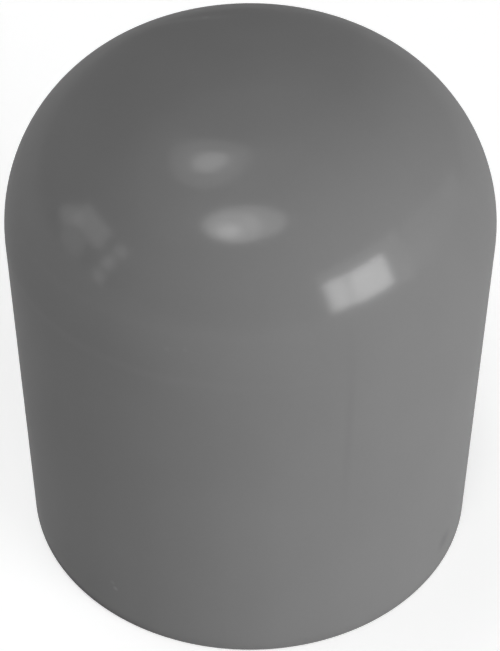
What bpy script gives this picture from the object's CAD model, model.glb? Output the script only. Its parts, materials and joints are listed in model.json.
"""Dresses the moulded end cap in glossy grey vinyl and sets it on a pale studio floor."""

import json
import math

import bmesh
import bpy
from bpy.props import FloatProperty, FloatVectorProperty, IntProperty, PointerProperty
from mathutils import Matrix, Vector

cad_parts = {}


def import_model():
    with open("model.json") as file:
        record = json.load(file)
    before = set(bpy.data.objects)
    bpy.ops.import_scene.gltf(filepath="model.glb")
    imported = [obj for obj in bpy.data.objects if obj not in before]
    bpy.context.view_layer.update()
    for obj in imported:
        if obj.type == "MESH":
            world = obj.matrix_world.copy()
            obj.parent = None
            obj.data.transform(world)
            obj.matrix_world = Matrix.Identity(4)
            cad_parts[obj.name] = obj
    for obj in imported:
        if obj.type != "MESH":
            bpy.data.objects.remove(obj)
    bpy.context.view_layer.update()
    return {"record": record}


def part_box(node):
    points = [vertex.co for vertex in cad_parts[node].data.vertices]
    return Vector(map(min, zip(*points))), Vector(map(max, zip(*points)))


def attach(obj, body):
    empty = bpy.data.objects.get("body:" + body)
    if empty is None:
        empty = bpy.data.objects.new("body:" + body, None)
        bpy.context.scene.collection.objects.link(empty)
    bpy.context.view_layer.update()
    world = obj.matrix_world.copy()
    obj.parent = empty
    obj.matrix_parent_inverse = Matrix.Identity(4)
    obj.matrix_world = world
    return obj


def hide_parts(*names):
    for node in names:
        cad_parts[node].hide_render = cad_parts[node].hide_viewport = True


bl_info = {
    "name": "Tube End Cap",
    "version": (1, 0, 0),
    "blender": (4, 5, 0),
    "location": "View3D > Sidebar > End Cap",
    "description": "Push-on vinyl end cap for round tube, with its studio",
    "category": "Object",
}

MM = 0.001

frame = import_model()
CAP_LOW, CAP_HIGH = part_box("end_cap")
CAP_MIDDLE = (CAP_LOW + CAP_HIGH) / 2
RECORD = frame["record"]
SOCKET = next(mount for mount in RECORD["mounts"] if mount["name"] == "tube_socket")


# ---------------------------------------------------------------- settings


class CapSizes(bpy.types.PropertyGroup):
    """Sizes of the moulding. Those that the frame holds come from it."""

    outside_radius: FloatProperty(
        name="Outside Radius",
        description="Outside of the upright wall",
        default=(CAP_HIGH.x - CAP_LOW.x) / 2,
        unit="LENGTH",
    )
    height: FloatProperty(
        name="Height",
        description="From the rim to the top of the crown",
        default=CAP_HIGH.z - CAP_LOW.z,
        unit="LENGTH",
    )
    socket_radius: FloatProperty(
        name="Socket Radius",
        description="Inside of the upright wall, which grips the tube",
        default=SOCKET["dims"]["r_mm"] * MM,
        unit="LENGTH",
    )
    crown_thickness: FloatProperty(
        name="Crown Thickness",
        description="Through the top",
        default=2.2 * MM,
        unit="LENGTH",
    )
    shoulder_radius: FloatProperty(
        name="Shoulder Radius",
        description="Outside, from the upright wall round to the crown",
        default=10.5 * MM,
        unit="LENGTH",
    )
    crown_radius: FloatProperty(
        name="Crown Radius",
        description="Outside of the shallow dome",
        default=35 * MM,
        unit="LENGTH",
    )
    rim_edge_radius: FloatProperty(
        name="Rim Edge Radius",
        description="Outside edge that the cap stands on",
        default=0.25 * MM,
        unit="LENGTH",
    )
    mouth_edge_radius: FloatProperty(
        name="Mouth Edge Radius",
        description="Inside edge that leads the tube in",
        default=0.5 * MM,
        unit="LENGTH",
    )
    turns: IntProperty(
        name="Turns",
        description="Facets round the cap",
        default=192,
        min=24,
    )


class VinylLook(bpy.types.PropertyGroup):
    """Colour and gloss of the vinyl."""

    colour: FloatVectorProperty(
        name="Colour",
        description="Mid grey of the compound",
        subtype="COLOR",
        default=(0.18, 0.18, 0.18),
        min=0,
        max=1,
    )
    mottle: FloatProperty(
        name="Mottle",
        description="How much lighter and darker than the colour the vinyl gets",
        subtype="FACTOR",
        default=0.06,
        min=0,
        max=1,
    )
    roughness: FloatProperty(
        name="Roughness",
        description="Of the vinyl under its skin",
        subtype="FACTOR",
        default=0.3,
        min=0,
        max=1,
    )
    skin_gloss: FloatProperty(
        name="Skin Gloss",
        description="How much of the glossy skin that curing leaves",
        subtype="FACTOR",
        default=0.15,
        min=0,
        max=1,
    )
    skin_roughness: FloatProperty(
        name="Skin Roughness",
        description="How soft the edges of the reflections are",
        subtype="FACTOR",
        default=0.14,
        min=0,
        max=1,
    )
    skin_ior: FloatProperty(
        name="Skin IOR",
        description="How strongly the skin reflects straight on, against its reflection at the edges",
        default=2.2,
        min=1,
    )


class StudioSettings(bpy.types.PropertyGroup):
    """Camera, floor and surroundings of the studio."""

    camera_elevation: FloatProperty(
        name="Camera Elevation",
        description="Above the horizon, about the middle of the cap",
        subtype="ANGLE",
        default=math.radians(40.5),
    )
    camera_distance: FloatProperty(
        name="Camera Distance",
        description="From the middle of the cap",
        default=102.9 * MM,
        unit="LENGTH",
    )
    camera_dip: FloatProperty(
        name="Camera Dip",
        description="How far below the middle of the cap the camera looks",
        subtype="ANGLE",
        default=0.019,
    )
    camera_roll: FloatProperty(
        name="Camera Roll",
        description="Turn about the line of sight",
        subtype="ANGLE",
        default=0.0045,
    )
    lens: FloatProperty(
        name="Lens",
        description="Focal length in millimetres, on a 36 mm sensor",
        default=93.54,
    )
    floor_colour: FloatVectorProperty(
        name="Floor Colour",
        description="Pale paper",
        subtype="COLOR",
        default=(0.78, 0.78, 0.78),
        min=0,
        max=1,
    )
    floor_glow: FloatProperty(
        name="Floor Glow",
        description="Added to the floor where it is seen, so that it looks white; it lights nothing",
        default=0.53,
        min=0,
    )
    backdrop: FloatProperty(
        name="Backdrop",
        description="Brightness of the surroundings where they are seen, and 1 is white",
        default=0.7,
        min=0,
    )
    ambience: FloatProperty(
        name="Ambience",
        description="Brightness of the surroundings as a light",
        default=0.06,
        min=0,
    )


# ---------------------------------------------------------------- shader maths


class Value:
    """An output socket of a finish, on which Python's arithmetic adds Math nodes."""

    def __init__(self, finish, socket):
        self.finish = finish
        self.socket = socket

    def __add__(self, other):
        return self.finish.maths("ADD", self, other)

    def __radd__(self, other):
        return self.finish.maths("ADD", other, self)

    def __sub__(self, other):
        return self.finish.maths("SUBTRACT", self, other)

    def __rsub__(self, other):
        return self.finish.maths("SUBTRACT", other, self)

    def __mul__(self, other):
        return self.finish.maths("MULTIPLY", self, other)

    def __rmul__(self, other):
        return self.finish.maths("MULTIPLY", other, self)

    def __abs__(self):
        return self.finish.maths("ABSOLUTE", self, 0)

    def beside(self, key):
        """Another output of the same node."""
        return Value(self.finish, self.socket.node.outputs[key])


class Finish:
    """A material's or the world's node tree, filled one node at a time."""

    def __init__(self, owner):
        owner.use_nodes = True
        self.tree = owner.node_tree
        self.tree.nodes.clear()

    def node(self, kind, settings=None, sockets=None, output=0):
        """Adds a node: first its settings, then the values or links of its sockets."""
        made = self.tree.nodes.new(kind)
        for name, value in (settings or {}).items():
            setattr(made, name, value)
        for key, value in (sockets or {}).items():
            if isinstance(value, Value):
                self.tree.links.new(value.socket, made.inputs[key])
            else:
                made.inputs[key].default_value = value
        return Value(self, made.outputs[output]) if made.outputs else made

    def maths(self, operation, first, second):
        return self.node("ShaderNodeMath", {"operation": operation}, {0: first, 1: second})

    def vectors(self, operation, first, second, output=0):
        return self.node("ShaderNodeVectorMath", {"operation": operation}, {0: first, 1: second}, output)

    def noise(self, place, scale, detail=2):
        """Soft noise from 0 to 1 about a half. The scale is in waves per metre."""
        return self.node("ShaderNodeTexNoise", {}, {"Vector": place, "Scale": scale, "Detail": detail})

    def near(self, distance, reach):
        """1 at no distance, falling smoothly to 0 at the reach."""
        return self.node(
            "ShaderNodeMapRange",
            {"interpolation_type": "SMOOTHSTEP"},
            {"Value": distance, "From Min": 0, "From Max": reach, "To Min": 1, "To Max": 0},
        )

    def blend(self, share, first, second):
        """The first colour turning into the second as share goes from 0 to 1."""
        return self.node(
            "ShaderNodeMix", {"data_type": "RGBA"}, {"Factor": share, 6: first, 7: second}, output=2
        )


# ---------------------------------------------------------------- the cap

# Facets along each stretch of the section, from the top of the crown to the top inside.
CROWN_STEPS = 14
SHOULDER_STEPS = 44
WALL_STEPS = 24
RIM_STEPS = 6
MOUTH_STEPS = 8
SOCKET_STEPS = 12
CORE_SHOULDER_STEPS = 30
CORE_CROWN_STEPS = 8

MERGE_DISTANCE = MM / 1000


class CAP_OT_moulding(bpy.types.Operator):
    """Spins the section of the moulding, with its socket, and dresses it in vinyl"""

    bl_idname = "cap.moulding"
    bl_label = "Moulding"

    def execute(self, context):
        sizes = context.scene.cap_sizes
        bm = bmesh.new()
        section(bm, sizes)
        bmesh.ops.spin(
            bm,
            geom=bm.verts[:] + bm.edges[:],
            cent=(0, 0, 0),
            axis=(0, 0, 1),
            angle=math.tau,
            steps=sizes.turns,
            use_merge=True,
        )
        bmesh.ops.remove_doubles(bm, verts=bm.verts[:], dist=MERGE_DISTANCE)
        bmesh.ops.recalc_face_normals(bm, faces=bm.faces[:])
        for face in bm.faces:
            face.smooth = True
        cap = finished_piece(context, "moulding", bm)
        cap.data.materials.append(vinyl(context.scene.vinyl_look, sizes))
        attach(cap, "root")
        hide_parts("end_cap")
        return {"FINISHED"}


def section(bm, sizes):
    """Half section in the XZ plane, drawn as one chain from the top of the crown to the top inside."""
    outside = outside_form(sizes)
    wall = sizes.outside_radius - sizes.socket_radius
    inside = dome(
        sizes.socket_radius,
        sizes.height - sizes.crown_thickness,
        sizes.shoulder_radius - wall,
        sizes.crown_radius - sizes.crown_thickness,
    )
    rim, mouth = sizes.rim_edge_radius, sizes.mouth_edge_radius
    at = bmesh.ops.create_vert(bm, co=(0, 0, sizes.height))["vert"][0]
    at = arc(bm, at, outside["crown_centre"], outside["crown_angle"], CROWN_STEPS)
    at = arc(bm, at, outside["shoulder_centre"], outside["shoulder_angle"], SHOULDER_STEPS)
    at = line(bm, at, (sizes.outside_radius, rim), WALL_STEPS)
    at = arc(bm, at, (sizes.outside_radius - rim, rim), math.pi / 2, RIM_STEPS)
    at = line(bm, at, (sizes.socket_radius + mouth, 0))
    at = arc(bm, at, (sizes.socket_radius + mouth, mouth), math.pi / 2, MOUTH_STEPS)
    at = line(bm, at, (sizes.socket_radius, inside["shoulder_centre"][1]), SOCKET_STEPS)
    at = arc(bm, at, inside["shoulder_centre"], -inside["shoulder_angle"], CORE_SHOULDER_STEPS)
    arc(bm, at, inside["crown_centre"], -inside["crown_angle"], CORE_CROWN_STEPS)


def outside_form(sizes):
    return dome(sizes.outside_radius, sizes.height, sizes.shoulder_radius, sizes.crown_radius)


def dome(radius, height, shoulder_radius, crown_radius):
    """Centres (x, z) and angles of the two tangent arcs between the top and an upright wall."""
    crown_centre = (0, height - crown_radius)
    shoulder_x = radius - shoulder_radius
    reach = crown_radius - shoulder_radius
    shoulder_z = crown_centre[1] + math.sqrt(reach**2 - shoulder_x**2)
    crown_angle = math.asin(shoulder_x / reach)
    return {
        "crown_centre": crown_centre,
        "crown_angle": crown_angle,
        "shoulder_centre": (shoulder_x, shoulder_z),
        "shoulder_angle": math.pi / 2 - crown_angle,
    }


def arc(bm, start, centre, angle, steps):
    """Sweeps a vertex about a centre (x, z) in the section plane and returns the last one."""
    swept = bmesh.ops.spin(
        bm, geom=[start], cent=(centre[0], 0, centre[1]), axis=(0, 1, 0), angle=angle, steps=steps
    )
    return next(item for item in swept["geom_last"] if isinstance(item, bmesh.types.BMVert))


def line(bm, start, end, steps=1):
    """Draws a straight run of equal steps to (x, z) and returns the last vertex."""
    stride = (Vector((end[0], 0, end[1])) - start.co) / steps
    for _ in range(steps):
        start = bmesh.ops.extrude_vert_indiv(bm, verts=[start])["verts"][0]
        start.co += stride
    return start


def finished_piece(context, name, bm):
    """The mesh as an object of its own, at the origin."""
    mesh = bpy.data.meshes.new(name)
    bm.to_mesh(mesh)
    bm.free()
    piece = bpy.data.objects.new(name, mesh)
    context.collection.objects.link(piece)
    return piece


# ---------------------------------------------------------------- marks of making and use

# Pale rings round the outside: one where the shoulder meets the wall, and a fainter one above it.
# Every reach and spread is from a mark's middle to where it has faded.
RING_REACH = 0.55 * MM
UPPER_RING_RISE = 3 * MM
UPPER_RING_REACH = 0.5 * MM
UPPER_RING_SHARE = 0.5
RINGS_AZIMUTH = math.radians(-35)
RINGS_SPREAD = math.radians(70)
RINGS_LEAST = 0.4
RINGS_CLOUDING = 1.2

# A dark run down the wall, where the dip drained, with its middle at the height given.
RUN_AZIMUTH = math.radians(22.2)
RUN_REACH = 0.45 * MM
RUN_HEIGHT = 18 * MM
RUN_SPAN = 10 * MM

# Dirt along the rim.
DIRT_HEIGHT = 0.7 * MM
DIRT_AZIMUTH = math.radians(-52)
DIRT_SPREAD = math.radians(40)

# A dark smudge low on the wall, and a fainter darkening all along the foot of the wall.
SMUDGE = (12.3 * MM, -7.3 * MM, 2.3 * MM)
SMUDGE_REACH = 1.1 * MM
FOOT_HEIGHT = 1.0 * MM
FOOT_SHARE = 0.8

# A pale scrape across the back of the crown: its middle, and how far it reaches each way.
SCRAPE = (-3.2 * MM, 5.5 * MM, 32.4 * MM)
SCRAPE_REACH = (3.2 * MM, 0.55 * MM, 3 * MM)

# Small pale scuffs on the outside: place and radius in metres, and strength.
SCUFFS = (
    ((-0.00813, -0.01177, 0.00284), 0.00027, 0.6),
    ((-0.00828, -0.01166, 0.00325), 0.00025, 0.3),
    ((-0.00431, -0.01344, 0.02416), 0.00030, 0.12),
    ((-0.00335, -0.01368, 0.02432), 0.00024, 0.12),
    ((0.01180, 0.00808, 0.00610), 0.00022, 0.5),
    ((-0.00560, 0.01316, 0.01430), 0.00018, 0.4),
    ((-0.00261, 0.00551, 0.03245), 0.00034, 0.3),
)

# In the order in which they lie over each other: how much of each mark shows, and how many times as
# light as the vinyl it is.
MARK_TONES = {
    "rings": (0.4, 1.1),
    "run": (0.4, 0.88),
    "smudge": (0.5, 0.75),
    "scuffs": (1, 1.5),
    "scrape": (0.35, 1.3),
    "dirt": (0.9, 0.25),
}


class Surface:
    """Where a point of the cap is, and whether it belongs to the outside."""

    # Faces of the outside look away from this point, and those of the inside look towards it.
    HEART = (0, 0, 4 * MM)

    def __init__(self, finish):
        normal = finish.node("ShaderNodeTexCoord", output="Normal")
        self.place = normal.beside("Object")
        self.x = finish.node("ShaderNodeSeparateXYZ", {}, {0: self.place})
        self.y = self.x.beside(1)
        self.z = self.x.beside(2)
        self.azimuth = finish.maths("ARCTAN2", self.x, 0 - self.y)
        away = finish.vectors("SUBTRACT", self.place, self.HEART)
        self.inside = finish.maths("LESS_THAN", finish.vectors("DOT_PRODUCT", normal, away, "Value"), 0)
        self.outside = 1 - self.inside


def marks(finish, surface, cloud, sizes):
    """How strong each mark is at a point. The rings are uneven, as the clouds are."""
    z, azimuth = surface.z, surface.azimuth
    wall_top = outside_form(sizes)["shoulder_centre"][1]
    rings = finish.near(abs(z - wall_top), RING_REACH)
    rings = rings + finish.near(abs(z - wall_top - UPPER_RING_RISE), UPPER_RING_REACH) * UPPER_RING_SHARE
    rings = rings * finish.near(abs(azimuth - RINGS_AZIMUTH), RINGS_SPREAD)
    rings = rings * (RINGS_LEAST + cloud * RINGS_CLOUDING)

    run = finish.near(abs(azimuth - RUN_AZIMUTH) * sizes.outside_radius, RUN_REACH)
    run = run * finish.near(abs(z - RUN_HEIGHT), RUN_SPAN)

    dirt = finish.near(z, DIRT_HEIGHT) * finish.near(abs(azimuth - DIRT_AZIMUTH), DIRT_SPREAD)

    smudge = finish.near(finish.vectors("DISTANCE", surface.place, SMUDGE, "Value"), SMUDGE_REACH)
    smudge = smudge + finish.near(z, FOOT_HEIGHT) * FOOT_SHARE

    scrape = 1
    for along, middle, reach in zip((surface.x, surface.y, z), SCRAPE, SCRAPE_REACH):
        scrape = finish.near(abs(along - middle), reach) * scrape

    scuffs = 0
    for spot, radius, strength in SCUFFS:
        away = finish.vectors("DISTANCE", surface.place, spot, "Value")
        scuffs = finish.near(away, radius) * strength + scuffs

    return {
        "rings": rings * surface.outside,
        "run": run * surface.outside,
        "smudge": smudge * surface.outside,
        "scuffs": scuffs * surface.outside,
        "scrape": scrape * surface.outside,
        "dirt": dirt,
    }


# ---------------------------------------------------------------- the vinyl

# Sizes of the patterns, in waves per metre.
CLOUDS = 140
PIGMENT = 4200
FLOW = 520
WAVES = 300
PEEL = 1500

# How much slower the flow changes up the cap than round it.
FLOW_DRAW = 0.05

# Shares of the patterns in the tint.
CLOUD_TINT = 0.5
PIGMENT_TINT = 0.3
FLOW_TINT = 0.2

# How much the patterns, about their middle value, and the inside change gloss and roughness.
NOISE_MIDDLE = 0.5
CLOUD_GLOSS = 0.4
FLOW_GLOSS = 0.2
INSIDE_DULLING = 0.85
CLOUD_ROUGHNESS = 0.1
INSIDE_ROUGHNESS = 0.2

# Heights of the relief.
WAVE_HEIGHT = 0.02 * MM
PEEL_HEIGHT = 0.001 * MM

VINYL_IOR = 1.5


def shade(colour, share):
    """A darker or lighter colour, with full alpha."""
    return tuple(channel * share for channel in colour) + (1,)


def vinyl(look, sizes):
    """Dipped vinyl: smooth and glossy outside, satin inside where the former shaped it."""
    material = bpy.data.materials.new("grey_vinyl")
    finish = Finish(material)
    surface = Surface(finish)
    place, inside = surface.place, surface.inside
    cloud = finish.noise(place, CLOUDS, detail=3)
    pigment = finish.noise(place, PIGMENT)
    drawn = finish.node("ShaderNodeMapping", {}, {"Vector": place, "Scale": (1, 1, FLOW_DRAW)})
    flow = finish.noise(drawn, FLOW)

    tint = cloud * CLOUD_TINT + pigment * PIGMENT_TINT + flow * FLOW_TINT
    colour = finish.blend(tint, shade(look.colour, 1 - look.mottle), shade(look.colour, 1 + look.mottle))
    worn = marks(finish, surface, cloud, sizes)
    for name, (share, tone) in MARK_TONES.items():
        colour = finish.blend(worn[name] * share, colour, shade(look.colour, tone))

    skin = 1 + (cloud - NOISE_MIDDLE) * CLOUD_GLOSS + (flow - NOISE_MIDDLE) * FLOW_GLOSS
    skin = skin * (1 - inside * INSIDE_DULLING) * (1 - finish.maths("MINIMUM", worn["scuffs"], 1))
    roughness = look.roughness + (cloud - NOISE_MIDDLE) * CLOUD_ROUGHNESS + inside * INSIDE_ROUGHNESS
    wave = finish.noise(place, WAVES, detail=1)
    peel = finish.noise(place, PEEL)
    relief = wave * WAVE_HEIGHT + peel * PEEL_HEIGHT
    shader = finish.node(
        "ShaderNodeBsdfPrincipled",
        {},
        {
            "Base Color": colour,
            "Roughness": roughness,
            "IOR": VINYL_IOR,
            "Specular IOR Level": 0,
            "Coat Weight": skin * look.skin_gloss,
            "Coat Roughness": look.skin_roughness,
            "Coat IOR": look.skin_ior,
            "Normal": finish.node("ShaderNodeBump", {}, {"Strength": 1, "Distance": 1, "Height": relief}),
        },
    )
    finish.node("ShaderNodeOutputMaterial", {}, {"Surface": shader})
    return material


# ---------------------------------------------------------------- the studio

FLOOR_RADIUS = 1.5
FLOOR_FACETS = 96
FLOOR_DROP = 0.02 * MM  # keeps the floor clear of the rim that stands on it
SENSOR_WIDTH = 36
CLIP_START = 5 * MM
CLIP_END = 10
WHITE = (1, 1, 1, 1)

# Each lamp faces the cap: name, outline, azimuth, elevation and roll in degrees, distance, width and
# height in metres, and the brightness of its face, where 1 is white. Reflections don't show the fills,
# and the sheen shows in reflections alone.
LAMPS = (
    ("window_wide", "RECTANGLE", 54.2, 11.3, 2, 2.0, 0.66, 0.65, 10.1),
    ("window_narrow", "RECTANGLE", 38.8, 11.0, 7, 2.0, 0.34, 0.63, 9.2),
    ("window_glow", "RECTANGLE", 53.0, 12.5, 0, 2.05, 1.60, 1.10, 1.3),
    ("right_panel", "RECTANGLE", 94.0, 2.0, -25, 2.05, 1.60, 1.20, 0.6),
    ("overhead_base", "ELLIPSE", -5.3, 60.9, 14, 2.05, 1.20, 0.78, 3.1),
    ("overhead_left", "ELLIPSE", -12.2, 58.0, 17, 2.02, 0.77, 0.65, 2.0),
    ("overhead_core", "ELLIPSE", -14.5, 55.7, 23, 1.98, 0.33, 0.29, 4.2),
    ("overhead_right", "ELLIPSE", 1.8, 62.1, -70, 1.98, 0.38, 0.22, 1.2),
    ("small_overhead", "ELLIPSE", -129.9, 74.8, 6, 2.0, 0.53, 0.33, 3.8),
    ("small_glow", "ELLIPSE", -127.7, 74.5, 15, 2.05, 1.22, 0.85, 1.4),
    ("ceiling_sheen", "ELLIPSE", -119.8, 73.4, 0, 2.1, 4.8, 1.65, 0.26),
    ("left_panel", "RECTANGLE", -82.2, 19.8, 3, 2.0, 0.67, 0.44, 1.8),
    ("left_end", "RECTANGLE", -94.9, 13.0, 52, 2.02, 0.46, 0.26, 1.4),
    ("left_low", "RECTANGLE", -87.0, 6.5, 0, 2.05, 0.50, 0.42, 0.9),
    ("left_strip_top", "RECTANGLE", -63.2, 20.8, -24, 2.0, 0.20, 0.23, 2.0),
    ("left_strip_middle", "RECTANGLE", -66.2, 12.0, -14, 2.0, 0.19, 0.26, 2.4),
    ("left_strip_foot", "RECTANGLE", -68.2, 2.8, -4, 2.0, 0.19, 0.24, 2.0),
    ("back_fill", "RECTANGLE", 180.0, 8.0, 0, 2.05, 2.4, 0.5, 0.5),
    ("left_fill", "RECTANGLE", -118.0, 25.0, 0, 2.1, 1.4, 0.6, 1.5),
    ("right_fill", "RECTANGLE", 62.0, 5.5, 0, 2.1, 2.4, 0.38, 3.8),
)


class CAP_OT_studio(bpy.types.Operator):
    """Sets the floor, the lamps, the world and the camera"""

    bl_idname = "cap.studio"
    bl_label = "Studio"

    def execute(self, context):
        studio = context.scene.studio_settings
        floor(context, studio)
        for lamp in LAMPS:
            soft_box(context, *lamp)
        world(context.scene, studio)
        camera(context, studio)
        context.scene.view_settings.view_transform = "Standard"
        return {"FINISHED"}


def floor(context, studio):
    """Round sheet of matt paper, just under the rim."""
    bm = bmesh.new()
    just_below = Matrix.Translation((0, 0, -FLOOR_DROP))
    bmesh.ops.create_circle(
        bm, cap_ends=True, radius=FLOOR_RADIUS, segments=FLOOR_FACETS, matrix=just_below
    )
    paper = finished_piece(context, "floor", bm)
    material = bpy.data.materials.new("pale_paper")
    finish = Finish(material)
    matt = finish.node("ShaderNodeBsdfDiffuse", {}, {"Color": (*studio.floor_colour, 1)})
    strength = seen_rays(finish) * studio.floor_glow
    glow = finish.node("ShaderNodeEmission", {}, {"Color": WHITE, "Strength": strength})
    both = finish.node("ShaderNodeAddShader", {}, {0: matt, 1: glow})
    finish.node("ShaderNodeOutputMaterial", {}, {"Surface": both})
    paper.data.materials.append(material)


def seen_rays(finish):
    """1 for the rays that show a surface to the camera, in a mirror or through glass."""
    to_camera = finish.node("ShaderNodeLightPath", output="Is Camera Ray")
    seen = finish.maths("MAXIMUM", to_camera, to_camera.beside("Is Glossy Ray"))
    return finish.maths("MAXIMUM", seen, to_camera.beside("Is Transmission Ray"))


def world(scene, studio):
    """Even surroundings: pale where they are seen, and dim as a light."""
    scene.world = bpy.data.worlds.new("studio_world")
    finish = Finish(scene.world)
    seen = seen_rays(finish)
    strength = seen * studio.backdrop + (1 - seen) * studio.ambience
    light = finish.node("ShaderNodeBackground", {}, {"Color": WHITE, "Strength": strength})
    finish.node("ShaderNodeOutputWorld", {}, {"Surface": light})


def direction(azimuth, elevation):
    """Unit vector; azimuth 0 is the camera's side and grows towards +X. Both in radians."""
    return Vector(
        (
            math.sin(azimuth) * math.cos(elevation),
            -math.cos(azimuth) * math.cos(elevation),
            math.sin(elevation),
        )
    )


def soft_box(context, name, outline, azimuth, elevation, roll, distance, width, height, brightness):
    """Area lamp that faces the middle of the cap, with the power that its brightness takes."""
    data = bpy.data.lights.new(name, "AREA")
    data.shape = outline
    data.size = width
    data.size_y = height
    face = width * height * (math.pi / 4 if outline == "ELLIPSE" else 1)
    data.energy = brightness * math.pi * face
    lamp = bpy.data.objects.new(name, data)
    context.collection.objects.link(lamp)
    away = direction(math.radians(azimuth), math.radians(elevation))
    lamp.location = CAP_MIDDLE + away * distance
    lamp.visible_glossy = not name.endswith("fill")
    lamp.visible_diffuse = not name.endswith("sheen")
    turn = away.to_track_quat("Z", "Y").to_matrix() @ Matrix.Rotation(math.radians(roll), 3, "Z")
    lamp.rotation_euler = turn.to_euler()


def camera(context, studio):
    """Close to the cap, looking down at it a little below its middle."""
    data = bpy.data.cameras.new("camera")
    data.lens = studio.lens
    data.sensor_width = SENSOR_WIDTH
    data.clip_start = CLIP_START
    data.clip_end = CLIP_END
    eye = bpy.data.objects.new("camera", data)
    context.collection.objects.link(eye)
    back = direction(0, studio.camera_elevation)
    tilt = Matrix.Rotation(studio.camera_roll, 4, "Z")
    dip = Matrix.Rotation(-studio.camera_dip, 4, "X")
    level = Matrix.Rotation(math.pi / 2 - studio.camera_elevation, 4, "X")
    place = Matrix.Translation(CAP_MIDDLE + back * studio.camera_distance)
    eye.matrix_world = place @ level @ dip @ tilt
    context.scene.camera = eye


# ---------------------------------------------------------------- panel and run


class CAP_PT_panel(bpy.types.Panel):
    """Lists the settings and the steps"""

    bl_label = "End Cap"
    bl_idname = "CAP_PT_panel"
    bl_space_type = "VIEW_3D"
    bl_region_type = "UI"
    bl_category = "End Cap"

    def draw(self, context):
        for name in SETTINGS:
            box = self.layout.box()
            group = getattr(context.scene, name)
            for prop in group.__annotations__:
                box.prop(group, prop)
        for step in STEPS:
            self.layout.operator(step.bl_idname)


SETTINGS = {
    "cap_sizes": CapSizes,
    "vinyl_look": VinylLook,
    "studio_settings": StudioSettings,
}
STEPS = (CAP_OT_moulding, CAP_OT_studio)
CLASSES = (*SETTINGS.values(), *STEPS, CAP_PT_panel)


def register():
    for cls in CLASSES:
        bpy.utils.register_class(cls)
    for name, cls in SETTINGS.items():
        setattr(bpy.types.Scene, name, PointerProperty(type=cls))


def unregister():
    for name in SETTINGS:
        delattr(bpy.types.Scene, name)
    for cls in reversed(CLASSES):
        bpy.utils.unregister_class(cls)


def main():
    register()
    bpy.ops.cap.moulding()
    bpy.ops.cap.studio()


if __name__ == "__main__":
    main()
